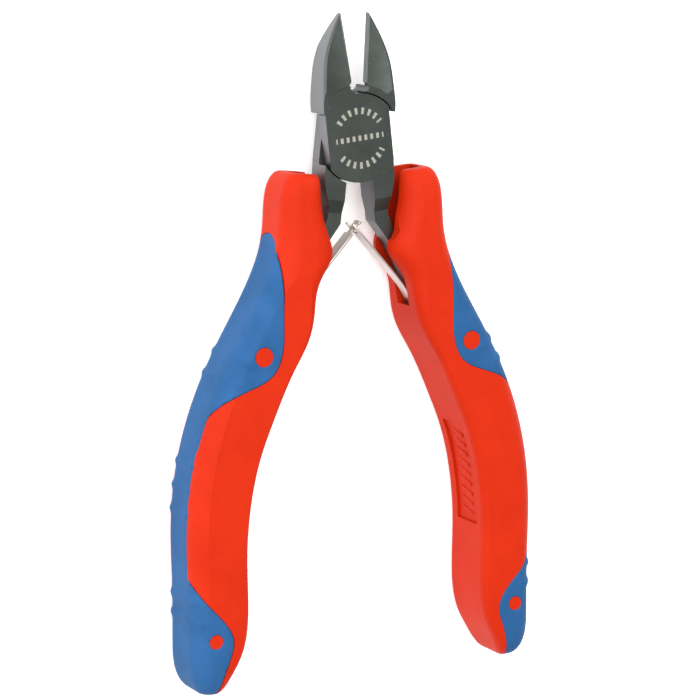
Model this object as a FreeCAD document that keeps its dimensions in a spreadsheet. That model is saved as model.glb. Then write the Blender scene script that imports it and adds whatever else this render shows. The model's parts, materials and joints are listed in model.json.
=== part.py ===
import FreeCAD, Part
import math
import os

from FreeCAD import Placement, Rotation, Vector

# Diagonal cutting pliers: a lap joint, two forged halves, two-colour grips and a pair of
# crossed leaf springs. Millimetres.
#
# Every piece is drawn with the jaws shut and the pivot axis at the origin: +Y points to the
# jaw tips, +Z out of the front face, and the right-hand grip lies at +X. The Placements then
# swing the halves open and lay the tool on the flat backs of its grips, with the origin
# under the middle of the tool's own box.

doc = FreeCAD.newDocument("diagonal_cutters")

# ---------------------------------------------------------------- driving dimensions

DIMENSIONS = {
    "half_opening": (6.4, "degrees each half swings from shut to its rest"),
    "pivot_height": (7.1, "pivot's mid plane above the surface the grips lie on"),
    "pivot_forward": (40.22, "pivot axis forward of the middle of the tool's length"),
    "joint_radius": (8.4, "radius of each lap"),
    "wrap_radius": (8.7, "radius each jaw and tang is cut back to, round the other lap"),
    "joint_half_depth": (2.8, "half the depth of the joint"),
    "lap_gap": (0.04, "clearance between the two laps"),
    "lap_half_width": (6.7, "flat sides of the laps, from the centre line"),
    "rivet_radius": (2.6, "radius of the pivot rivet"),
    "rivet_clearance": (0.03, "radial running clearance in the rear half"),
    "tip_reach": (23.6, "pivot to jaw tips"),
    "edge_gap": (0.03, "each cutting edge stops this short of the centre plane"),
    "heel_reach": (10.3, "pivot to the inner end of the cutting edge"),
    "heel_height": (1.7, "height of the cutting edge's inner end above mid depth"),
    "collar_radius": (10.0, "radius where the ground flanks of the jaws start"),
    "notch_radius": (0.9, "relief hole at the inner end of the cutting edges"),
    "bevel": (0.62, "width of the bevels along the cutting edge"),
    "ridge_at_tip": (0.3, "rounding of the jaws' front outer ridges at the tip"),
    "ridge_at_heel": (0.6, "rounding of the same ridges beside the joint"),
    "tang_half_depth": (2.0, "half the depth of the tangs inside the grips"),
    "grip_half_depth": (7.1, "half the depth of the grips"),
    "skin": (1.7, "thickness of the soft inlay over the hard core"),
    "band_half_width": (3.5, "how far the soft band on the outer edge reaches forward of mid depth"),
    "band_back_reach": (5.2, "how far the same band reaches back of mid depth"),
    "band_bottom": (-103.0, "where that band ends beside the grip's tail"),
    "channel_half_depth": (2.35, "half the width of the slot between the grip's lips"),
    "upper_post_radius": (1.8, "round post of the core in the upper pad"),
    "lower_post_radius": (1.35, "round post of the core in the lower pad"),
    "post_sink": (0.12, "how far the posts stand below the flat of the grip"),
    "panel_half_width": (3.8, "half width of that panel"),
    "leaf_thickness": (0.45, "thickness of the leaf springs"),
    "leaf_half_width": (1.6, "half width of the leaf springs"),
    "leaf_reach": (15.9, "from the root of a leaf to where the two leaves cross"),
    "leaf_lean": (35.45, "degrees a relaxed leaf leans in from its own half"),
    "tongue_half_width": (0.65, "half width of the left leaf's tongue"),
    "fork_half_slot": (0.85, "half width of the slot in the right leaf's fork"),
    "hook_half_width": (1.15, "half width of the tongue's head"),
    "foot_gap": (0.05, "gap between the leaf's rounded root and its foot"),
    "foot_length": (11.2, "length of the foot that lies against the tang"),
    "foot_splay": (20.0, "degrees the foot runs outward from the centre line"),
    "leaf_rivet_radius": (0.75, "shank of the rivet that holds a leaf's foot"),
    "leaf_rivet_reach": (7.0, "from the leaf's root to that rivet"),
    "leaf_rivet_depth": (1.8, "how deep that rivet goes into the tang"),
}

sheet = doc.addObject("Spreadsheet::Sheet", "dims")
for row, (alias, (value, note)) in enumerate(DIMENSIONS.items(), start=1):
    sheet.set(f"A{row}", note)
    sheet.set(f"B{row}", str(value))
    sheet.setAlias(f"B{row}", alias)
doc.recompute()


def dim(alias):
    return float(sheet.get(alias))


# ---------------------------------------------------------------- small drawing helpers

FLAT = Placement()


def sketch(name, start, steps, side=1, placement=FLAT):
    """A closed outline of lines, arcs and curves; side -1 draws it on the left."""
    drawn = doc.addObject("Sketcher::SketchObject", name)
    drawn.Placement = placement

    def spot(point):
        return Vector(side * point[0], point[1], 0)

    here = first = spot(start)
    for kind, *points in steps:
        stops = [spot(point) for point in points]
        if kind == "line":
            for stop in stops:
                drawn.addGeometry(Part.LineSegment(here, stop), False)
                here = stop
        elif kind == "arc":
            drawn.addGeometry(Part.Arc(here, *stops), False)
        elif kind == "curve":
            spline = Part.BSplineCurve()
            spline.interpolate([here, *stops])
            drawn.addGeometry(spline, False)
        here = stops[-1]
    if here.distanceToPoint(first) > 1e-6:
        drawn.addGeometry(Part.LineSegment(here, first), False)
    return drawn


def bind(feature, **cells):
    for name, formula in cells.items():
        feature.setExpression(name, formula)
    return feature


def slab(profile, length, both_ways=True):
    """A solid of one sketch, drawn out along its normal by a formula of the sheet."""
    solid = doc.addObject("Part::Extrusion", profile.Name + "_solid")
    solid.Base = profile
    solid.DirMode = "Normal"
    solid.Solid = True
    solid.Symmetric = both_ways
    return bind(solid, LengthFwd=length)


def cylinder(name, radius, height, base=Vector(), axis=Vector(0, 0, 1)):
    solid = doc.addObject("Part::Cylinder", name)
    solid.Placement = Placement(base, Rotation(Vector(0, 0, 1), axis))
    return bind(solid, Radius=radius, Height=height)


def box(name, low, high):
    solid = doc.addObject("Part::Box", name)
    size = high - low
    solid.Length, solid.Width, solid.Height = size.x, size.y, size.z
    solid.Placement = Placement(low, Rotation())
    return solid


def fuse(name, *solids):
    joined = doc.addObject("Part::MultiFuse", name)
    joined.Shapes = list(solids)
    joined.Refine = True
    return joined


def cut(name, base, tool):
    result = doc.addObject("Part::Cut", name)
    result.Base, result.Tool = base, tool
    return result


def common(name, base, tool):
    result = doc.addObject("Part::Common", name)
    result.Base, result.Tool = base, tool
    return result


def mirrored(name, source):
    """The left-hand twin of a right-hand solid."""
    twin = doc.addObject("Part::Mirroring", name)
    twin.Source = source
    twin.Normal = Vector(1, 0, 0)
    return twin


subparts = {}


def swung_open(side):
    """Where a piece drawn with the jaws shut rests; side 1 rides with the front half."""
    pivot = Vector(0, dim("pivot_forward"), dim("pivot_height"))
    return Placement(pivot, Rotation(Vector(0, 0, 1), side * dim("half_opening")))


def keep(name, drawn, side):
    """Finish a sub-part: a clean copy of its solid, named and put where it rests."""
    piece = doc.addObject("Part::Refine", name)
    piece.Source = drawn
    piece.Label = name
    piece.Placement = swung_open(side)
    subparts[name] = piece


def keep_pair(word, drawn):
    """A right-hand sub-part and its left-hand twin."""
    keep("right_" + word, drawn, 1)
    keep("left_" + word, mirrored("left_" + word + "_twin", drawn), -1)


# ---------------------------------------------------------------- the two forged halves

TALL = 30.0

# Half outlines, drawn on the +X side. The jaw lies on one side of the centre plane and the
# same half's tang on the other, so each is drawn with its own side.
JAW_SHOULDER = (6.9, 5.6)
JAW_FLANK = [(6.75, 8.2), (6.3, 10.8), (5.55, 14.3), (4.1, 17.9), (2.0, 21.4), (0.45, 23.55)]
NECK_START = (1.9, -5.0)
NECK_CORNERS = [(1.85, -14.6), (4.7, -14.6), (5.0, -13.0), (5.9, -10.6), (6.5, -8.4), (6.7, -4.0)]
TANG_START = (1.85, -7.0)
TANG_INNER = [(1.85, -16.4), (4.0, -20.0), (8.3, -30.0)]
TANG_INNER_RUN = [(13.9, -47.6), (16.0, -53.5), (18.0, -61.0)]
TANG_END = [(20.0, -63.3), (21.9, -61.5)]
TANG_OUTER_RUN = [(20.2, -52.5), (16.8, -42.5), (12.4, -31.0), (8.9, -23.4), (5.6, -18.9)]
TANG_OUTER = [(4.7, -15.2), (5.0, -13.0), (5.9, -10.6), (6.5, -8.4), (6.6, -5.0)]

# Where each leaf spring leaves its grip, and how its foot lies on the tang's inner edge.
LEAF_ROOT = Vector(7.3, -30.1, 0)
FOOT_RUN = Vector(
    math.sin(math.radians(dim("foot_splay"))), -math.cos(math.radians(dim("foot_splay"))), 0
)
FOOT_OUTWARD = Vector(-FOOT_RUN.y, FOOT_RUN.x, 0)


def on_foot(along, outward):
    """A point of the right leaf's foot, by its distances along and across the strip."""
    return LEAF_ROOT + FOOT_RUN * along + FOOT_OUTWARD * outward


def on_side(point, side):
    return Vector(side * point.x, point.y, point.z)


def jaw_grind(name, jaw_side, face):
    """What the grinding wheel takes off one flank of a jaw: face 1 is the front, -1 the back.

    The profile stands square to the cutting edge, whose own line is its origin: a short
    bevel, then a flank, shallow and slightly hollow in front and steep behind.
    """
    heel = Vector(0, dim("heel_reach"), dim("heel_height"))
    tip = Vector(0, dim("tip_reach"), 0)
    tilt = math.degrees(math.atan2(heel.z - tip.z, tip.y - heel.y))
    bevel = dim("bevel")
    reach = 9.0
    if face > 0:
        flank = ("arc", (3.4, bevel + 0.12), (reach, bevel + 0.95))
    else:
        flank = ("arc", (3.4, -bevel - 2.2), (reach, -bevel - 7.1))
    profile = sketch(
        name + "_profile",
        (-1.0, 0.0),
        [
            ("line", (0.0, 0.0), (bevel, face * bevel)),
            flank,
            ("line", (reach, face * TALL), (-1.0, face * TALL)),
        ],
        jaw_side,
        Placement((heel + tip) * 0.5, Rotation(Vector(1, 0, 0), 90 - tilt)),
    )
    wheel = slab(profile, "2 * dims.tip_reach")
    collar = cylinder(name + "_collar", "dims.collar_radius", f"{2 * TALL}", Vector(0, 0, -TALL))
    return cut(name, wheel, collar)


def round_ridges(name, base):
    """Round the front outer ridge of a jaw, more and more from its tip back to the joint."""
    doc.recompute()
    result = doc.addObject("Part::Fillet", name)
    result.Base = base
    radii = []
    for number, edge in enumerate(base.Shape.Edges, start=1):
        ends = edge.valueAt(edge.FirstParameter), edge.valueAt(edge.LastParameter)
        middle = edge.valueAt((edge.FirstParameter + edge.LastParameter) / 2)
        if edge.Length > 14 and middle.y > 12 and abs(middle.x) > 2.2 and middle.z > 0:
            widths = dim("ridge_at_tip"), dim("ridge_at_heel")
            radii.append((number, *(widths if ends[0].y > ends[1].y else widths[::-1])))
    result.Edges = radii
    return result


def leaf_rivet_hole(name, side):
    """Blind hole in the tang's inner edge for the rivet that holds a leaf's foot."""
    mouth = on_foot(dim("leaf_rivet_reach"), dim("leaf_thickness") / 2 - 1.0)
    return cylinder(name, "dims.leaf_rivet_radius", "1 + dims.leaf_rivet_depth",
                    on_side(mouth, side), on_side(FOOT_OUTWARD, side))


def forged_half(name, jaw_side, lap_face):
    """One forging: lap_face 1 keeps the lap in front of the joint's mid plane, -1 behind."""
    tang_side = -jaw_side
    depth = "2 * dims.joint_half_depth"

    jaw = slab(
        sketch(
            name + "_jaw",
            (dim("edge_gap"), 3.0),
            [
                ("line", (4.0, 3.0), JAW_SHOULDER),
                ("curve", *JAW_FLANK),
                ("line", (dim("edge_gap"), dim("tip_reach") - 0.1)),
            ],
            jaw_side,
        ),
        depth,
    )
    neck_block = slab(
        sketch(name + "_neck", NECK_START, [("line", *NECK_CORNERS)], tang_side), depth
    )
    doc.recompute()
    neck = doc.addObject("Part::Chamfer", name + "_neck_step")
    neck.Base = neck_block
    foot_edges = [
        n
        for n, edge in enumerate(neck_block.Shape.Edges, start=1)
        if edge.BoundBox.YMax < NECK_CORNERS[1][1] + 0.01 and edge.BoundBox.ZLength < 0.01
    ]
    step = dim("joint_half_depth") - dim("tang_half_depth") + 0.05
    neck.Edges = [(n, step, 2.6) for n in foot_edges]
    seat_depth = dim("leaf_thickness") / 2
    seat_top, seat_end = on_foot(1.0, seat_depth), on_foot(12.0, seat_depth)
    tang = slab(
        sketch(
            name + "_tang",
            TANG_START,
            [
                ("line", *TANG_INNER, seat_top, seat_end),
                ("curve", *TANG_INNER_RUN),
                ("arc", *TANG_END),
                ("curve", *TANG_OUTER_RUN),
                ("line", *TANG_OUTER),
            ],
            tang_side,
        ),
        "2 * dims.tang_half_depth",
    )
    stock = fuse(name + "_stock", jaw, neck, tang)

    other_lap = cylinder(name + "_other_lap", "dims.wrap_radius", f"{TALL}")
    own_lap = cylinder(
        name + "_own_lap", "dims.joint_radius", "dims.joint_half_depth - dims.lap_gap / 2"
    )
    if lap_face > 0:
        bind(other_lap, **{"Placement.Base.z": f"dims.lap_gap / 2 - {TALL}"})
        bind(own_lap, **{"Placement.Base.z": "dims.lap_gap / 2"})
    else:
        bind(other_lap, **{"Placement.Base.z": "-dims.lap_gap / 2"})
        bind(own_lap, **{"Placement.Base.z": "-dims.joint_half_depth"})
    width = dim("lap_half_width")
    flat_sides = box(name + "_flat_sides", Vector(-width, -TALL, -TALL), Vector(width, TALL, TALL))
    lap = common(name + "_lap", own_lap, flat_sides)
    whole = fuse(name + "_whole", cut(name + "_open", stock, other_lap), lap)

    bore_radius = "dims.rivet_radius"
    if lap_face < 0:
        bore_radius += " + dims.rivet_clearance"
    taken = fuse(
        name + "_taken",
        cylinder(name + "_bore", bore_radius, f"{2 * TALL}", Vector(0, 0, -TALL)),
        cylinder(
            name + "_notch",
            "dims.notch_radius",
            f"{2 * TALL}",
            Vector(0, dim("heel_reach") - dim("notch_radius") * 0.7, -TALL),
        ),
        jaw_grind(name + "_front_grind", jaw_side, 1),
        jaw_grind(name + "_back_grind", jaw_side, -1),
        leaf_rivet_hole(name + "_leaf_rivet_hole", tang_side),
    )
    ground = cut(name + "_ground", whole, taken)
    keep(name, round_ridges(name + "_rounded", ground), tang_side)


forged_half("front_half", -1, 1)
forged_half("rear_half", 1, -1)


def pivot_rivet():
    """A flush rivet: tight in the front half, running in the rear half."""
    shank = cylinder(
        "rivet_shank", "dims.rivet_radius", "2 * dims.joint_half_depth",
        Vector(0, 0, -dim("joint_half_depth")),
    )
    keep("pivot_rivet", shank, 1)


pivot_rivet()

# ---------------------------------------------------------------- leaf springs

# A strip leaves the grip's slot at its root and bends there; its foot lies along the tang's
# inner edge, held by a small rivet.


def leaf_axis(side):
    """Along a relaxed leaf, from its root to where the two leaves cross."""
    lean = math.radians(dim("leaf_lean"))
    return Vector(-side * math.sin(lean), math.cos(lean), 0)


def strip_place(root, along):
    """Put a strip's drawing plane through root: X of the drawing runs along it, Y is depth."""
    across = Vector(0, 0, 1)
    return Placement(root, Rotation(along, across, along.cross(across), "XYZ"))


def leaf_blade(name, side):
    """The free end of a leaf: a fork on the right, a tongue with a hooked head on the left."""
    half, reach = dim("leaf_half_width"), dim("leaf_reach")
    root = Vector(side * LEAF_ROOT.x, LEAF_ROOT.y, 0)
    place = strip_place(root, leaf_axis(side))
    throat = reach - 1.3
    if side > 0:
        slot, end = dim("fork_half_slot"), reach + 1.2
        corners = [
            (throat, -half), (end, -half), (end, -slot), (throat, -slot),
            (throat, slot), (end, slot), (end, half), (0.0, half),
        ]
    else:
        tongue, hook = dim("tongue_half_width"), dim("hook_half_width")
        neck, end = reach + 0.95, reach + 1.7
        corners = [
            (throat, -half), (throat, -tongue), (neck, -tongue), (neck, -hook),
            (end, -hook), (end, hook), (neck, hook), (neck, tongue),
            (throat, tongue), (throat, half), (0.0, half),
        ]
    plate = slab(
        sketch(name + "_outline", (0.0, -half), [("line", *corners)], 1, place),
        "dims.leaf_thickness",
    )
    nose = cylinder(
        name + "_nose", "dims.leaf_thickness / 2", "2 * dims.leaf_half_width",
        Vector(root.x, root.y, -half),
    )
    keep(name, fuse(name + "_body", plate, nose), side)


def leaf_foot():
    """The fixed end of the right leaf, flat against the tang, with its rivet hole."""
    half = dim("leaf_half_width")
    start = dim("leaf_thickness") / 2 + dim("foot_gap")
    end = start + dim("foot_length")
    outline = sketch(
        "foot_outline", (start, -half),
        [("line", (end - 0.6, -half), (end, 0.6 - half), (end, half - 0.6), (end - 0.6, half),
          (start, half))],
        1, strip_place(LEAF_ROOT, FOOT_RUN),
    )
    plate = slab(outline, "dims.leaf_thickness")
    hole = cylinder("foot_hole", "dims.leaf_rivet_radius", "2 * dims.leaf_thickness",
                    on_foot(dim("leaf_rivet_reach"), -dim("leaf_thickness")), FOOT_OUTWARD)
    return cut("foot_shape", plate, hole)


def leaf_rivet():
    """Rivet through the foot into the tang, its head on the side of the tool's centre."""
    face = dim("leaf_thickness") / 2
    reach = dim("leaf_rivet_reach")
    shank = cylinder("leaf_rivet_shank", "dims.leaf_rivet_radius",
                     "dims.leaf_thickness + dims.leaf_rivet_depth",
                     on_foot(reach, -face), FOOT_OUTWARD)
    head = cylinder("leaf_rivet_head", "dims.leaf_rivet_radius * 1.7", "dims.leaf_thickness",
                    on_foot(reach, -face), FOOT_OUTWARD * -1)
    return fuse("leaf_rivet_shape", shank, head)


leaf_blade("right_spring_blade", 1)
leaf_blade("left_spring_blade", -1)
foot_solid = leaf_foot()
leaf_rivet_solid = leaf_rivet()

# ---------------------------------------------------------------- grips

# Cross-sections of the right grip, from its top to its tail: where along Y, the inner and
# outer X, half the depth, and the rounding of the outer and the inner corners.
GRIP_SECTIONS = [
    (-7.4, 8.6, 13.3, 3.6, 1.6, 1.6),
    (-7.9, 8.0, 14.3, 4.7, 2.0, 2.2),
    (-9.3, 7.7, 15.1, 5.6, 2.6, 2.8),
    (-12.0, 7.2, 15.6, 6.1, 3.0, 3.6),
    (-16.5, 5.8, 15.5, 6.4, 3.4, 4.0),
    (-19.5, 4.3, 15.4, 6.6, 3.6, 4.4),
    (-22.2, 3.6, 15.6, 6.8, 3.8, 4.6),
    (-25.2, 5.1, 16.2, 7.0, 4.0, 3.8),
    (-28.8, 6.7, 17.3, 7.2, 4.2, 3.2),
    (-33.0, 7.1, 18.9, 7.3, 4.2, 2.6),
    (-38.0, 7.9, 21.1, 7.3, 4.2, 2.0),
    (-44.0, 10.4, 23.6, 7.3, 4.2, 1.8),
    (-52.6, 13.4, 26.4, 7.3, 4.2, 1.8),
    (-61.5, 15.8, 28.1, 7.3, 4.2, 1.8),
    (-69.6, 16.7, 28.6, 7.3, 4.2, 1.8),
    (-79.0, 16.5, 28.0, 7.3, 4.2, 1.8),
    (-87.0, 15.5, 26.9, 7.3, 4.2, 1.8),
    (-94.0, 15.0, 26.1, 7.3, 4.2, 1.8),
    (-98.5, 15.6, 25.6, 7.2, 4.0, 1.8),
    (-102.5, 17.0, 24.9, 6.7, 3.4, 1.8),
    (-105.3, 18.1, 23.6, 5.6, 2.4, 1.6),
    (-106.6, 19.2, 22.2, 4.0, 1.3, 1.2),
]

# Front outlines of the soft inlay's two pads, and the middle of the core's round posts.
UPPER_PAD_START = (22.0, -19.6)
UPPER_PAD_LEAD = (15.4, -22.4)
UPPER_PAD_EDGE = [(14.6, -29.0), (14.2, -34.0), (13.7, -40.4), (15.0, -44.8), (21.3, -48.8),
                  (25.7, -52.4), (27.3, -57.5), (28.6, -63.0)]
LOWER_PAD_START = (28.4, -79.0)
LOWER_PAD_EDGE = [(26.9, -85.0), (24.9, -87.8), (20.7, -91.6), (18.0, -95.6), (18.5, -99.6),
                  (19.4, -104.8), (19.6, -109.0)]
UPPER_POST = Vector(17.5, -41.7, 0)
LOWER_POST = Vector(21.7, -95.7, 0)
BAND_TOP = -19.1

# The slot between the lips, open to the top and to the inner side.
SLOT_START = (-5.0, -3.0)
SLOT_CORNERS = [(12.6, -3.0), (12.6, -18.5), (14.0, -27.5), (13.4, -32.2), (9.4, -34.9),
                (6.4, -33.2), (-5.0, -33.2)]

# The open throat where the tang enters, right through from front to back.
THROAT_START = (-5.0, -3.0)
THROAT_CORNERS = [(7.6, -3.0), (7.4, -9.5), (6.9, -11.4), (6.4, -14.3), (5.5, -18.6),
                  (4.6, -20.0), (3.5, -20.4), (-5.0, -20.7)]

# The recessed panel on the inner side, as a plan of its floor.
PANEL_START = (10.0, -58.6)
PANEL_FLOOR = [(15.6, -58.6), (16.5, -62.2), (17.1, -68.0), (17.2, -75.5), (17.0, -79.0)]


def grip_section(number, station):
    """One rounded cross-section of the grip, standing across Y."""
    y, inner, outer, half, outer_round, inner_round = station
    arc_middle = 1 - math.sqrt(0.5)
    turns = [
        (outer, half, -1, -1, outer_round),
        (inner, half, 1, -1, inner_round),
        (inner, -half, 1, 1, inner_round),
        (outer, -half, -1, 1, outer_round),
    ]
    steps = []
    for count, (x, z, to_x, to_z, r) in enumerate(turns):
        side_end, flat_end = (x, z + to_z * r), (x + to_x * r, z)
        middle = (x + to_x * r * arc_middle, z + to_z * r * arc_middle)
        first, last = (side_end, flat_end) if count % 2 == 0 else (flat_end, side_end)
        steps += [("line", first), ("arc", middle, last)]
    place = Placement(Vector(0, y, 0), Rotation(Vector(1, 0, 0), 90))
    return sketch(f"grip_section_{number}", (outer, -half + outer_round), steps, 1, place)


def grip_envelope():
    """The outside of a whole grip, with its front and back struck flat."""
    loft = doc.addObject("Part::Loft", "grip_loft")
    loft.Sections = [grip_section(n, station) for n, station in enumerate(GRIP_SECTIONS)]
    loft.Solid = True
    loft.Ruled = False
    half = dim("grip_half_depth")
    flats = box("grip_flats", Vector(-TALL, -4 * TALL, -half), Vector(2 * TALL, TALL, half))
    return common("grip_envelope", loft, flats)


def inlay_region():
    """Where the soft material lies: two pads that wrap front and back, and a band outside."""
    deep = f"{2 * TALL}"
    pads = [
        slab(
            sketch(
                "upper_pad", UPPER_PAD_START,
                [("line", UPPER_PAD_LEAD), ("curve", *UPPER_PAD_EDGE), ("line", (40.0, -63.0))],
            ),
            deep,
        ),
        slab(
            sketch(
                "lower_pad", LOWER_PAD_START,
                [("curve", *LOWER_PAD_EDGE), ("line", (40.0, -109.0), (40.0, -79.0))],
            ),
            deep,
        ),
    ]
    front, back, bottom = dim("band_half_width"), dim("band_back_reach"), dim("band_bottom")
    middle = (back - front) / 2
    beside = Placement(Vector(12.0, 0, 0), Rotation(Vector(0, 1, 0), 90))
    band_profile = sketch(
        "band", (-front, BAND_TOP - front),
        [("arc", (middle, BAND_TOP), (back, BAND_TOP - front)),
         ("line", (back, bottom), (-front, bottom))],
        1, beside,
    )
    band = slab(band_profile, f"{TALL}", both_ways=False)
    return fuse("inlay_region", *pads, band)


def hard_inside():
    """What stays hard under the inlay: the grip's outline, one skin thickness smaller."""
    skin = dim("skin") + 0.1
    tail = -103.4
    edge = [(outer - skin, y) for y, inner, outer, half, r, q in GRIP_SECTIONS[4:-3]]
    outline = sketch(
        "hard_inside", (0.0, 0.0),
        [("line", (edge[0][0], 0.0), edge[0]), ("curve", *edge[1:]),
         ("line", (21.5, tail), (0.0, tail))],
    )
    return slab(outline, "2 * (dims.grip_half_depth - dims.skin)")


def grips():
    envelope = grip_envelope()
    posts = fuse(
        "posts",
        cylinder("upper_post", "dims.upper_post_radius", f"{2 * TALL}",
                 UPPER_POST - Vector(0, 0, TALL)),
        cylinder("lower_post", "dims.lower_post_radius", f"{2 * TALL}",
                 LOWER_POST - Vector(0, 0, TALL)),
    )
    soft = cut("soft_region", inlay_region(), hard_inside())
    inlay_shape = common("inlay_shape", envelope, cut("soft_round_posts", soft, posts))

    slot = slab(sketch("slot", SLOT_START, [("line", *SLOT_CORNERS)]),
                "2 * dims.channel_half_depth")
    panel = slab(
        sketch("panel", PANEL_START,
               [("line", PANEL_FLOOR[0]), ("curve", *PANEL_FLOOR[1:]), ("line", (10.0, -79.0))]),
        "2 * dims.panel_half_width",
    )
    post_faces = []
    for face in (1, -1):
        sunk = dim("grip_half_depth") - dim("post_sink")
        base = sunk if face > 0 else -sunk - TALL
        for word, spot in (("upper", UPPER_POST), ("lower", LOWER_POST)):
            post_faces.append(
                cylinder(f"{word}_face_{face + 1}", f"dims.{word}_post_radius", f"{TALL}",
                         Vector(spot.x, spot.y, base))
            )
    throat = slab(
        sketch("throat", THROAT_START, [("line", *THROAT_CORNERS)]), f"{2 * TALL}"
    )
    tang = doc.getObject("front_half_tang_solid")
    taken = fuse("core_taken", slot, panel, throat, tang, foot_solid, leaf_rivet_solid, *post_faces)
    core_shape = cut("core_shape", cut("core_blank", envelope, inlay_shape), taken)
    return core_shape, inlay_shape


core_solid, inlay_solid = grips()
keep_pair("grip_core", core_solid)
keep_pair("grip_inlay", inlay_solid)
keep_pair("spring_foot", foot_solid)
keep_pair("spring_rivet", leaf_rivet_solid)
doc.recompute()

# ---------------------------------------------------------------- checking and export

faults = [item.Name for item in doc.Objects if {"Invalid", "Error"} & set(item.State)]
if faults:
    raise RuntimeError("these did not build: " + ", ".join(faults))
for name, feature in subparts.items():
    shape = feature.Shape
    if shape.isNull() or not shape.isValid():
        raise RuntimeError(name + " has no valid shape")
    print(f"{name}: {len(shape.Solids)} solid, {shape.Volume:.1f} mm3, {len(shape.Faces)} faces")

whole = FreeCAD.BoundBox()
for feature in subparts.values():
    whole.add(feature.Shape.BoundBox)
print(f"box {whole.XMin:.2f} {whole.YMin:.2f} {whole.ZMin:.2f} to "
      f"{whole.XMax:.2f} {whole.YMax:.2f} {whole.ZMax:.2f}")

os.makedirs("parts", exist_ok=True)
for name, feature in subparts.items():
    feature.Shape.exportStep(os.path.join("parts", name + ".step"))
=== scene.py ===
import json
import math

import bmesh
import bpy
from mathutils import Matrix, Vector


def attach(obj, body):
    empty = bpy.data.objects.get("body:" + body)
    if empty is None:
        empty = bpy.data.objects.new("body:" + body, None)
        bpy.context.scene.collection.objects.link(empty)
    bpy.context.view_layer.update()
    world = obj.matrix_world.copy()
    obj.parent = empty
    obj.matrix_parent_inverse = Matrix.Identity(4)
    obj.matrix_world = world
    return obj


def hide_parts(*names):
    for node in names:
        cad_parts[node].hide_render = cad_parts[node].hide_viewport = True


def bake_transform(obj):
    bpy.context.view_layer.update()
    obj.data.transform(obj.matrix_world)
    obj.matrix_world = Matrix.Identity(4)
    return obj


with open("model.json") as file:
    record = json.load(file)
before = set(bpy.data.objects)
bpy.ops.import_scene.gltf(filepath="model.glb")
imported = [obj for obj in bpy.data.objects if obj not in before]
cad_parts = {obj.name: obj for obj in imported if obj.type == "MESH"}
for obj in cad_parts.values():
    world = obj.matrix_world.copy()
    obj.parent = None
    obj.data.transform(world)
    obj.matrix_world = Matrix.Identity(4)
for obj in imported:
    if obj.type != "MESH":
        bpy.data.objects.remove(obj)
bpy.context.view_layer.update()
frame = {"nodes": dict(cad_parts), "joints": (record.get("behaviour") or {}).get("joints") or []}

# Looks for a pair of diagonal cutting pliers that lie on a pale bench, seen from above and a
# little to the left. Metres; +Y runs to the jaw tips and +Z out of the front face.

MM = 0.001
nodes = frame["nodes"]
joints = {joint["name"]: joint for joint in frame["joints"]}
PIVOT = Vector(joints["pliers_pivot"]["pos_m"])
HALF_OPENING = math.radians(6.4)
FACE_HEIGHT = 2.8 * MM


# ---------------------------------------------------------------- camera, bench and light

def set_camera():
    azimuth = math.radians(-27.0)
    height = math.radians(9.5)
    back = Vector((
        math.sin(azimuth) * math.cos(height),
        math.sin(height),
        math.cos(azimuth) * math.cos(height),
    ))
    right = Vector((math.cos(azimuth), 0.0, -math.sin(azimuth)))
    up = back.cross(right)
    aim = PIVOT - right * 0.6 * MM - up * 40.2 * MM
    lens = bpy.data.cameras.new("camera")
    lens.lens = 149.9
    lens.sensor_width = 36.0
    lens.clip_start = 0.02
    camera = bpy.data.objects.new("camera", lens)
    turn = Matrix((right, up, back)).transposed().to_4x4()
    camera.matrix_world = Matrix.Translation(aim + back * 0.55) @ turn
    bpy.context.collection.objects.link(camera)
    bpy.context.scene.camera = camera
    return right, up, back


def area_light(name, place, aim, size, power, colour=(1.0, 1.0, 1.0)):
    lamp = bpy.data.lights.new(name, "AREA")
    lamp.shape = "RECTANGLE"
    lamp.size, lamp.size_y = size
    lamp.energy = power
    lamp.color = colour
    light = bpy.data.objects.new(name, lamp)
    light.location = place
    light.rotation_euler = (Vector(aim) - Vector(place)).to_track_quat("-Z", "Y").to_euler()
    bpy.context.collection.objects.link(light)


def set_stage():
    bench = bpy.data.meshes.new("bench")
    bm = bmesh.new()
    bmesh.ops.create_grid(bm, x_segments=1, y_segments=1, size=3.0)
    bm.to_mesh(bench)
    bm.free()
    floor = bpy.data.objects.new("bench", bench)
    bpy.context.collection.objects.link(floor)
    paint = bpy.data.materials.new("bench_paint")
    paint.use_nodes = True
    shader = paint.node_tree.nodes["Principled BSDF"]
    shader.inputs["Base Color"].default_value = (0.93, 0.93, 0.93, 1.0)
    shader.inputs["Roughness"].default_value = 0.9
    shader.inputs["Specular IOR Level"].default_value = 0.1
    shader.inputs["Emission Color"].default_value = (1.0, 1.0, 1.0, 1.0)
    shader.inputs["Emission Strength"].default_value = 0.3
    floor.data.materials.append(paint)

    world = bpy.data.worlds.new("studio")
    world.use_nodes = True
    sky = world.node_tree.nodes["Background"]
    sky.inputs["Color"].default_value = (1.0, 1.0, 1.0, 1.0)
    sky.inputs["Strength"].default_value = 0.75
    bpy.context.scene.world = world
    middle = (0.0, 0.0, 0.007)
    area_light("soft_top", (-0.1, 0.3, 0.9), middle, (0.9, 0.9), 9.0)
    area_light("soft_left", (-0.7, 0.2, 0.45), middle, (0.6, 0.8), 5.0)
    area_light("strip_right", (0.6, 0.5, 0.35), middle, (0.15, 0.6), 2.0)


# ---------------------------------------------------------------- shader building blocks

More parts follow.
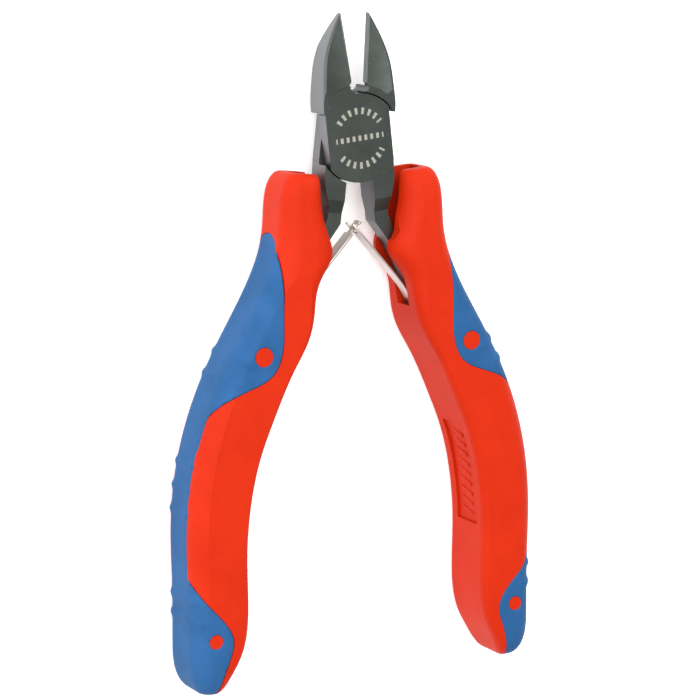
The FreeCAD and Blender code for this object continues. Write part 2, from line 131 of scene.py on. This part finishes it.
def add(tree, kind, settings=None, **values):
    """A shader node; a socket's value is a constant or another node's output socket.

    Keywords name sockets with _ for a space; _0, _1 and so on number them.
    """
    node = tree.nodes.new("ShaderNode" + kind)
    for name, value in (settings or {}).items():
        setattr(node, name, value)
    for name, value in values.items():
        known = name[1:].isdigit() and name[0] == "_"
        socket = node.inputs[int(name[1:])] if known else node.inputs[name.replace("_", " ")]
        if isinstance(value, bpy.types.NodeSocket):
            tree.links.new(value, socket)
        else:
            socket.default_value = value
    return node


def math_node(tree, operation, first, second=0.0, third=0.0):
    return add(tree, "Math", {"operation": operation}, _0=first, _1=second, _2=third).outputs[0]


def ramp(tree, value, low, high):
    """0 below low, 1 above high, smooth between."""
    return add(
        tree, "MapRange", {"interpolation_type": "SMOOTHSTEP"},
        Value=value, From_Min=low, From_Max=high,
    ).outputs["Result"]


def blend_colour(tree, mask, first, second):
    mixed = add(tree, "Mix", {"data_type": "RGBA"}, _0=mask, _6=first, _7=second)
    return mixed.outputs[2]


def effect_group(name, inputs, outputs):
    tree = bpy.data.node_groups.new(name, "ShaderNodeTree")
    for title, kind, value in inputs:
        socket = tree.interface.new_socket(title, in_out="INPUT", socket_type=kind)
        socket.default_value = value
    for title, kind in outputs:
        tree.interface.new_socket(title, in_out="OUTPUT", socket_type=kind)
    return tree, tree.nodes.new("NodeGroupInput").outputs, tree.nodes.new("NodeGroupOutput").inputs


def use_group(tree, group, **values):
    node = tree.nodes.new("ShaderNodeGroup")
    node.node_tree = group
    for name, value in values.items():
        socket = node.inputs[name.replace("_", " ")]
        if isinstance(value, bpy.types.NodeSocket):
            tree.links.new(value, socket)
        else:
            socket.default_value = value
    return node.outputs


FLOAT, COLOUR, VECTOR = "NodeSocketFloat", "NodeSocketColor", "NodeSocketVector"


def grain_group():
    """Fine moulded or blasted grain: a height, and a mask of scattered pale specks that are
    painted glints, light caught by the grain painted into the colour.
    """
    tree, given, out = effect_group(
        "grain",
        [("Scale", FLOAT, 4000.0), ("Speck Scale", FLOAT, 1500.0), ("Speck Share", FLOAT, 0.3)],
        [("Height", FLOAT), ("Painted Glints", FLOAT), ("Clouds", FLOAT)],
    )
    place = add(tree, "TexCoord").outputs["Object"]
    fine = add(tree, "TexNoise", Vector=place, Scale=given["Scale"], Detail=3.0, Roughness=0.6)
    tree.links.new(fine.outputs["Fac"], out["Height"])
    # The speck mask marks painted glints: scattered dots where a blended-in colour stands for
    # light glancing off the grain.
    dots = add(tree, "TexVoronoi", Vector=place, Scale=given["Speck Scale"])
    near = math_node(tree, "LESS_THAN", dots.outputs["Distance"], 0.22)
    chosen = add(tree, "SeparateColor", Color=dots.outputs["Color"]).outputs[0]
    share = math_node(tree, "LESS_THAN", chosen, given["Speck Share"])
    tree.links.new(math_node(tree, "MULTIPLY", near, share), out["Painted Glints"])
    clouds = add(tree, "TexNoise", Vector=place, Scale=110.0, Detail=4.0, Roughness=0.55)
    tree.links.new(ramp(tree, clouds.outputs["Fac"], 0.3, 0.7), out["Clouds"])
    return tree


def streak_group():
    """Grinding or rolling lines that run along one direction of the piece."""
    tree, given, out = effect_group(
        "streaks",
        [("Turn", VECTOR, (0.0, 0.0, 0.0)), ("Fineness", FLOAT, 1.0)],
        [("Lines", FLOAT)],
    )
    place = add(tree, "TexCoord").outputs["Object"]
    turned = add(tree, "VectorRotate", {"rotation_type": "EULER_XYZ"}, Vector=place,
                 Rotation=given["Turn"]).outputs[0]
    stretched = add(tree, "VectorMath", {"operation": "MULTIPLY"}, _0=turned,
                    _1=(160.0, 5200.0, 5200.0)).outputs[0]
    scaled = add(tree, "VectorMath", {"operation": "SCALE"}, _0=stretched,
                 Scale=given["Fineness"]).outputs[0]
    lines = add(tree, "TexNoise", Vector=scaled, Scale=1.0, Detail=3.0, Roughness=0.65)
    tree.links.new(lines.outputs["Fac"], out["Lines"])
    return tree


def etch_group():
    """Generic etched marks round the pivot: two arcs of strokes and a row of blocks."""
    tree, given, out = effect_group(
        "etched_marks", [("Centre", VECTOR, (0, 0, 0))], [("Mark", FLOAT)]
    )
    place = add(tree, "TexCoord").outputs["Object"]
    local = add(tree, "VectorMath", {"operation": "SUBTRACT"}, _0=place, _1=given["Centre"])
    turned = add(tree, "VectorRotate", {"rotation_type": "Z_AXIS"}, Vector=local.outputs[0],
                 Angle=-HALF_OPENING).outputs[0]
    axes = add(tree, "SeparateXYZ", Vector=turned).outputs
    x = math_node(tree, "MULTIPLY", axes["X"], 1000.0)
    y = math_node(tree, "MULTIPLY", axes["Y"], 1000.0)
    z = math_node(tree, "MULTIPLY", axes["Z"], 1000.0)
    radius = math_node(tree, "SQRT", math_node(
        tree, "ADD", math_node(tree, "MULTIPLY", x, x), math_node(tree, "MULTIPLY", y, y)))
    angle = math_node(tree, "ARCTAN2", y, x)

    def band(value, middle, half):
        away = math_node(tree, "ABSOLUTE", math_node(tree, "SUBTRACT", value, middle))
        return math_node(tree, "LESS_THAN", away, half)

    def every(value, step, half):
        wave = math_node(tree, "PINGPONG", value, step / 2)
        return math_node(tree, "LESS_THAN", wave, half)

    ring = math_node(tree, "MULTIPLY", band(radius, 5.15, 0.62), every(angle, 0.27, 0.055))
    lower = math_node(tree, "ABSOLUTE", math_node(tree, "SINE", angle))
    ring = math_node(tree, "MULTIPLY", ring, math_node(tree, "GREATER_THAN", lower, 0.5))
    row = math_node(tree, "MULTIPLY", band(y, 0.0, 0.5), every(x, 1.25, 0.3))
    row = math_node(tree, "MULTIPLY", row, band(x, 0.0, 5.0))
    marks = math_node(tree, "MAXIMUM", ring, row)
    front = math_node(tree, "GREATER_THAN", z, FACE_HEIGHT / MM - 0.05)
    tree.links.new(math_node(tree, "MULTIPLY", marks, front), out["Mark"])
    return tree


def new_material(name):
    material = bpy.data.materials.new(name)
    material.use_nodes = True
    tree = material.node_tree
    return material, tree, tree.nodes["Principled BSDF"].inputs


def set_bump(tree, sockets, height, strength, distance):
    normal = add(tree, "Bump", Height=height, Strength=strength, Distance=distance)
    tree.links.new(normal.outputs[0], sockets["Normal"])


def forged_steel(marked):
    material, tree, sockets = new_material("marked_steel" if marked else "forged_steel")
    grain = use_group(tree, GRAIN, Scale=5200.0, Speck_Scale=2600.0, Speck_Share=0.12)
    lines = use_group(tree, STREAKS, Turn=(0.0, 0.0, math.radians(35.0)), Fineness=1.0)["Lines"]
    # Colour by which way a face points: faces turned sideways get the paler colour, painted light
    # on the sides that catch it, with real grinding lines in it; the front and back faces keep the
    # darker steel colour with its random clouds.
    facing = add(tree, "SeparateXYZ", Vector=add(tree, "TexCoord").outputs["Normal"]).outputs["Z"]
    painted_facing_mask = ramp(tree, math_node(tree, "ABSOLUTE", facing), 0.35, 0.8)
    dark = blend_colour(tree, grain["Clouds"], (0.050, 0.057, 0.051, 1), (0.066, 0.073, 0.067, 1))
    pale = blend_colour(tree, lines, (0.12, 0.122, 0.13, 1), (0.16, 0.162, 0.17, 1))
    colour = blend_colour(tree, painted_facing_mask, pale, dark)
    # Paler specks blended in: painted glints on the steel.
    colour = blend_colour(tree, math_node(tree, "MULTIPLY", grain["Painted Glints"], 0.25), colour,
                          (0.3, 0.3, 0.29, 1))
    rough = math_node(tree, "MULTIPLY_ADD", lines, 0.22, 0.26)
    if marked:
        mark = use_group(tree, ETCH, Centre=tuple(PIVOT))["Mark"]
        colour = blend_colour(tree, mark, colour, (0.25, 0.245, 0.21, 1))
        rough = add(tree, "Mix", _0=mark, _2=rough, _3=0.75).outputs[0]
        tree.links.new(math_node(tree, "SUBTRACT", 1.0, mark), sockets["Metallic"])
    else:
        sockets["Metallic"].default_value = 1.0
    tree.links.new(colour, sockets["Base Color"])
    tree.links.new(rough, sockets["Roughness"])
    height = math_node(tree, "ADD", math_node(tree, "MULTIPLY", lines, 0.6), grain["Height"])
    set_bump(tree, sockets, height, 0.35, 0.02 * MM)
    return material


def spring_steel():
    material, tree, sockets = new_material("spring_steel")
    lines = use_group(tree, STREAKS, Turn=(0.0, 0.0, math.radians(50.0)), Fineness=1.4)["Lines"]
    grain = use_group(tree, GRAIN, Scale=4000.0, Speck_Scale=2000.0, Speck_Share=0.05)
    colour = blend_colour(tree, grain["Clouds"], (0.42, 0.37, 0.34, 1), (0.52, 0.48, 0.45, 1))
    tree.links.new(colour, sockets["Base Color"])
    sockets["Metallic"].default_value = 1.0
    tree.links.new(math_node(tree, "MULTIPLY_ADD", lines, 0.2, 0.22), sockets["Roughness"])
    set_bump(tree, sockets, lines, 0.2, 0.01 * MM)
    return material


def moulded(name, low, high, painted_glint_colour, painted_glint_strength, rough, grain_depth):
    material, tree, sockets = new_material(name)
    sockets["Specular IOR Level"].default_value = 0.1
    grain = use_group(tree, GRAIN, Scale=3600.0, Speck_Scale=3000.0, Speck_Share=0.16)
    colour = blend_colour(tree, grain["Clouds"], low, high)
    # Paler specks blended in with the glint colour: painted glints on the moulding.
    colour = blend_colour(
        tree, math_node(tree, "MULTIPLY", grain["Painted Glints"], painted_glint_strength), colour, painted_glint_colour
    )
    tree.links.new(colour, sockets["Base Color"])
    tree.links.new(math_node(tree, "MULTIPLY_ADD", grain["Height"], 0.25, rough),
                   sockets["Roughness"])
    set_bump(tree, sockets, grain["Height"], 0.4, grain_depth)
    return material


# ---------------------------------------------------------------- pieces

def finish_piece(name, bm, material, smooth=True):
    mesh = bpy.data.meshes.new(name)
    bm.to_mesh(mesh)
    bm.free()
    for face in mesh.polygons:
        face.use_smooth = smooth
    mesh.materials.append(material)
    piece = bpy.data.objects.new(name, mesh)
    bpy.context.collection.objects.link(piece)
    return piece


def apply_modifiers(piece):
    graph = bpy.context.evaluated_depsgraph_get()
    mesh = bpy.data.meshes.new_from_object(piece.evaluated_get(graph))
    mesh.name = piece.name
    piece.modifiers.clear()
    piece.data = mesh


def swing(side):
    """From the drawing with the jaws shut, millimetres, right-hand side, to where it rests."""
    mirror = Matrix.Diagonal((side, 1.0, 1.0, 1.0))
    turn = Matrix.Rotation(side * HALF_OPENING, 4, "Z")
    return Matrix.Translation(PIVOT) @ turn @ mirror @ Matrix.Scale(MM, 4)


# Leaf springs, in a strip's own plan: X along it from its root, Y across its width.
STRIP_HALF = 1.6
STRIP_THICKNESS = 0.45
FOOT_LENGTH = 11.4
BEND_HALF = 1.6
BLADE_REACH = 15.9
THROAT = BLADE_REACH - 1.3
LEAF_ROOT = Vector((7.3, -30.1, 0.0))
LEAF_LEAN = math.radians(35.45)
FOOT_SPLAY = math.radians(20.0)


def leaf_spring(name, side):
    """One bent strip: a foot against the tang, a soft bend, and a forked or tongued blade."""
    if side > 0:
        end = BLADE_REACH + 1.2
        stations = [end]
        gone = [(THROAT, end, -0.85, 0.85)]
    else:
        hook, end = BLADE_REACH + 0.95, BLADE_REACH + 1.7
        stations = [hook, end]
        gone = [
            (THROAT, hook, low, high)
            for low, high in ((-STRIP_HALF, -0.65), (0.65, STRIP_HALF))
        ] + [(hook, end, low, high) for low, high in ((-STRIP_HALF, -1.15), (1.15, STRIP_HALF))]
    along = [-FOOT_LENGTH, -7.0, -4.0]
    along += [-BEND_HALF + 0.4 * step for step in range(9)]
    along += [4.0, 8.0, 12.0, THROAT] + stations
    across = [-STRIP_HALF, -1.15, -0.85, -0.65, 0.0, 0.65, 0.85, 1.15, STRIP_HALF]

    foot = Vector((math.sin(FOOT_SPLAY), -math.cos(FOOT_SPLAY), 0.0))
    blade = Vector((-math.sin(LEAF_LEAN), math.cos(LEAF_LEAN), 0.0))

    def on_strip(s):
        if s <= -BEND_HALF:
            return LEAF_ROOT - foot * s
        if s >= BEND_HALF:
            return LEAF_ROOT + blade * s
        t = (s + BEND_HALF) / (2 * BEND_HALF)
        start, stop = LEAF_ROOT + foot * BEND_HALF, LEAF_ROOT + blade * BEND_HALF
        return start * (1 - t) ** 2 + LEAF_ROOT * 2 * t * (1 - t) + stop * t ** 2

    bm = bmesh.new()
    bmesh.ops.create_grid(bm, x_segments=len(along) - 1, y_segments=len(across) - 1, size=1.0)
    for vert in bm.verts:
        column = round((vert.co.x + 1) / 2 * (len(along) - 1))
        line = round((vert.co.y + 1) / 2 * (len(across) - 1))
        vert.co = Vector((along[column], across[line], 0.0))
    outside = [
        face for face in bm.faces
        if any(
            low_s < face.calc_center_median().x < high_s
            and low_v < face.calc_center_median().y < high_v
            for low_s, high_s, low_v, high_v in gone
        )
    ]
    bmesh.ops.delete(bm, geom=outside, context="FACES")
    for vert in bm.verts:
        middle = on_strip(vert.co.x)
        vert.co = Vector((middle.x, middle.y, vert.co.y))
    bmesh.ops.transform(bm, matrix=swing(side), verts=bm.verts)
    piece = finish_piece(name, bm, SPRING, smooth=True)
    wall = piece.modifiers.new("wall", "SOLIDIFY")
    wall.thickness = STRIP_THICKNESS * MM
    wall.offset = 0.0
    soften = piece.modifiers.new("soften", "BEVEL")
    soften.width = 0.07 * MM
    soften.segments = 2
    soften.limit_method = "ANGLE"
    apply_modifiers(piece)
    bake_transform(piece)
    word = "right" if side > 0 else "left"
    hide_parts(word + "_spring_blade", word + "_spring_foot")
    return piece


# Low ribs across the soft inlay, in the shut, right-hand drawing: the point where each
# crosses the outer edge, how far it leans, and how far it runs in over the front and back.
RIBS = [
    (22.8, -42.0, 0.42, 5.2),
    (24.4, -46.2, 0.33, 3.4),
    (28.2, -63.2, 0.10, 0.8),
    (28.5, -67.8, 0.03, 0.8),
    (28.6, -72.3, -0.03, 0.8),
    (26.8, -88.5, 0.05, 1.6),
    (26.4, -92.2, 0.15, 3.6),
]
RIB_HEIGHT = 0.34
RIB_HALF_WIDTH = 0.75


def rib_height(x, y):
    total = 0.0
    for edge_x, edge_y, lean, reach in RIBS:
        length = math.hypot(1.0, lean)
        off_line = ((x - edge_x) * lean - (y - edge_y)) / length
        if abs(off_line) > 3 * RIB_HALF_WIDTH:
            continue
        inward = (-(x - edge_x) - (y - edge_y) * lean) / length
        fade = min(max((reach - inward) / (0.6 * reach), 0.0), 1.0)
        total += math.exp(-(off_line / RIB_HALF_WIDTH) ** 2) * fade * fade * (3 - 2 * fade)
    return RIB_HEIGHT * total


def soft_inlay(side):
    """The rubbery pads and band of one grip, with soft edges and low ribs."""
    word = "right" if side > 0 else "left"
    node = nodes[word + "_grip_inlay"]
    bm = bmesh.new()
    bm.from_mesh(node.data)
    bmesh.ops.remove_doubles(bm, verts=bm.verts, dist=0.002 * MM)
    piece = finish_piece(word + "_soft_inlay", bm, SOFT_BLUE)
    remesh = piece.modifiers.new("even", "REMESH")
    remesh.mode = "VOXEL"
    remesh.voxel_size = 0.3 * MM
    remesh.use_smooth_shade = True
    apply_modifiers(piece)
    smooth = piece.modifiers.new("ease", "SMOOTH")
    smooth.factor = 0.5
    smooth.iterations = 2
    apply_modifiers(piece)
    mesh = piece.data
    if not mesh.materials:
        mesh.materials.append(SOFT_BLUE)
    back = swing(side).inverted()
    raised = []
    for vert in mesh.vertices:
        drawn = back @ vert.co
        raised.append(vert.co + vert.normal * rib_height(drawn.x, drawn.y) * MM)
    for vert, spot in zip(mesh.vertices, raised):
        vert.co = (spot.x, spot.y, max(spot.z, 0.0))
    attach(piece, "front_body" if side > 0 else "rear_body")
    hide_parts(word + "_grip_inlay")
    return piece


PANEL_FLOOR = [(-58.6, 15.6), (-62.2, 16.5), (-68.0, 17.1), (-75.5, 17.2), (-79.0, 17.0)]


def floor_at(y):
    """Where the recessed panel's floor stands, between the corners of its plan."""
    for (high, first), (low, second) in zip(PANEL_FLOOR, PANEL_FLOOR[1:]):
        if y >= low:
            return first + (second - first) * (high - y) / (high - low)
    return PANEL_FLOOR[-1][1]


def panel_bars(side):
    """A row of low slanted bars on the floor of the recessed panel."""
    word = "right" if side > 0 else "left"
    bm = bmesh.new()
    count = 9
    for number in range(count):
        y = -60.9 - number * (77.0 - 60.9) / (count - 1)
        x = floor_at(y) + 0.05
        bar = bmesh.ops.create_cube(bm, size=1.0)["verts"]
        bmesh.ops.scale(bm, vec=(0.4, 0.7, 4.2), verts=bar)
        bmesh.ops.rotate(bm, matrix=Matrix.Rotation(math.radians(14), 3, "X"), verts=bar)
        bmesh.ops.translate(bm, vec=(x, y, 0.0), verts=bar)
    bmesh.ops.bevel(bm, geom=bm.edges[:], offset=0.12, affect="EDGES", segments=2, profile=0.5,
                    material=-1)
    bmesh.ops.transform(bm, matrix=swing(side), verts=bm.verts)
    bmesh.ops.recalc_face_normals(bm, faces=bm.faces)
    piece = finish_piece(word + "_panel_bars", bm, HARD_RED)
    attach(piece, "front_body" if side > 0 else "rear_body")
    return piece


set_camera()
set_stage()
GRAIN = grain_group()
STREAKS = streak_group()
ETCH = etch_group()
MARKED_STEEL = forged_steel(True)
PLAIN_STEEL = forged_steel(False)
SPRING = spring_steel()
# For each moulding the third colour and the number after it are the painted glint colour and how
# strongly it is blended in.
HARD_RED = moulded(
    "hard_red", (0.43, 0.0150, 0.0004, 1), (0.47, 0.0180, 0.0010, 1), (0.5, 0.10, 0.05, 1), 0.22,
    0.42, 0.03 * MM,
)
SOFT_BLUE = moulded(
    "soft_blue", (0.014, 0.073, 0.19, 1), (0.021, 0.090, 0.235, 1), (0.07, 0.15, 0.30, 1), 0.14,
    0.5, 0.02 * MM,
)

FINISHES = {
    "front_half": MARKED_STEEL,
    "rear_half": PLAIN_STEEL,
    "pivot_rivet": MARKED_STEEL,
    "right_spring_rivet": PLAIN_STEEL,
    "left_spring_rivet": PLAIN_STEEL,
    "right_grip_core": HARD_RED,
    "left_grip_core": HARD_RED,
}
for name, material in FINISHES.items():
    for place in nodes[name].material_slots:
        place.material = material

for side in (1, -1):
    word = "right" if side > 0 else "left"
    leaf_spring(
        word + "_leaf_spring", side
    )
    soft_inlay(side)
    panel_bars(side)

bpy.context.scene.view_settings.view_transform = "Standard"
